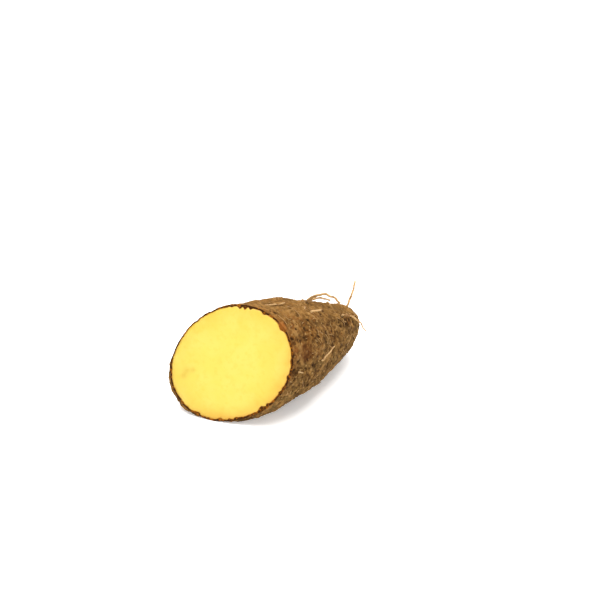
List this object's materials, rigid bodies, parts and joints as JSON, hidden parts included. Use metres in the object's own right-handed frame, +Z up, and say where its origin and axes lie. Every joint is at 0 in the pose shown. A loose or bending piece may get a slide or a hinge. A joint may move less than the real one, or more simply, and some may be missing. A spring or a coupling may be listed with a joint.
{
  "type": "yellow yam half",
  "caption": "Half of a yellow-fleshed yam, cut across and lying on its side, with a flat cut, rough brown skin and wiry rootlets.",
  "frame": {"origin": "under the middle of the part's box, on the plane that the half lies on", "axes": "+Y runs along the yam from its flat cut to its blunt tip, +Z is up, the cut faces -Y and a little +X and +Z"},
  "size_m": [0.0897, 0.1398, 0.0772],
  "materials": {
    "skin": "rough and matte",
    "flesh": "moist and satin"
  },
  "bodies": {
    "root": {"yam_half": "skin"}
  },
  "joints": []
}
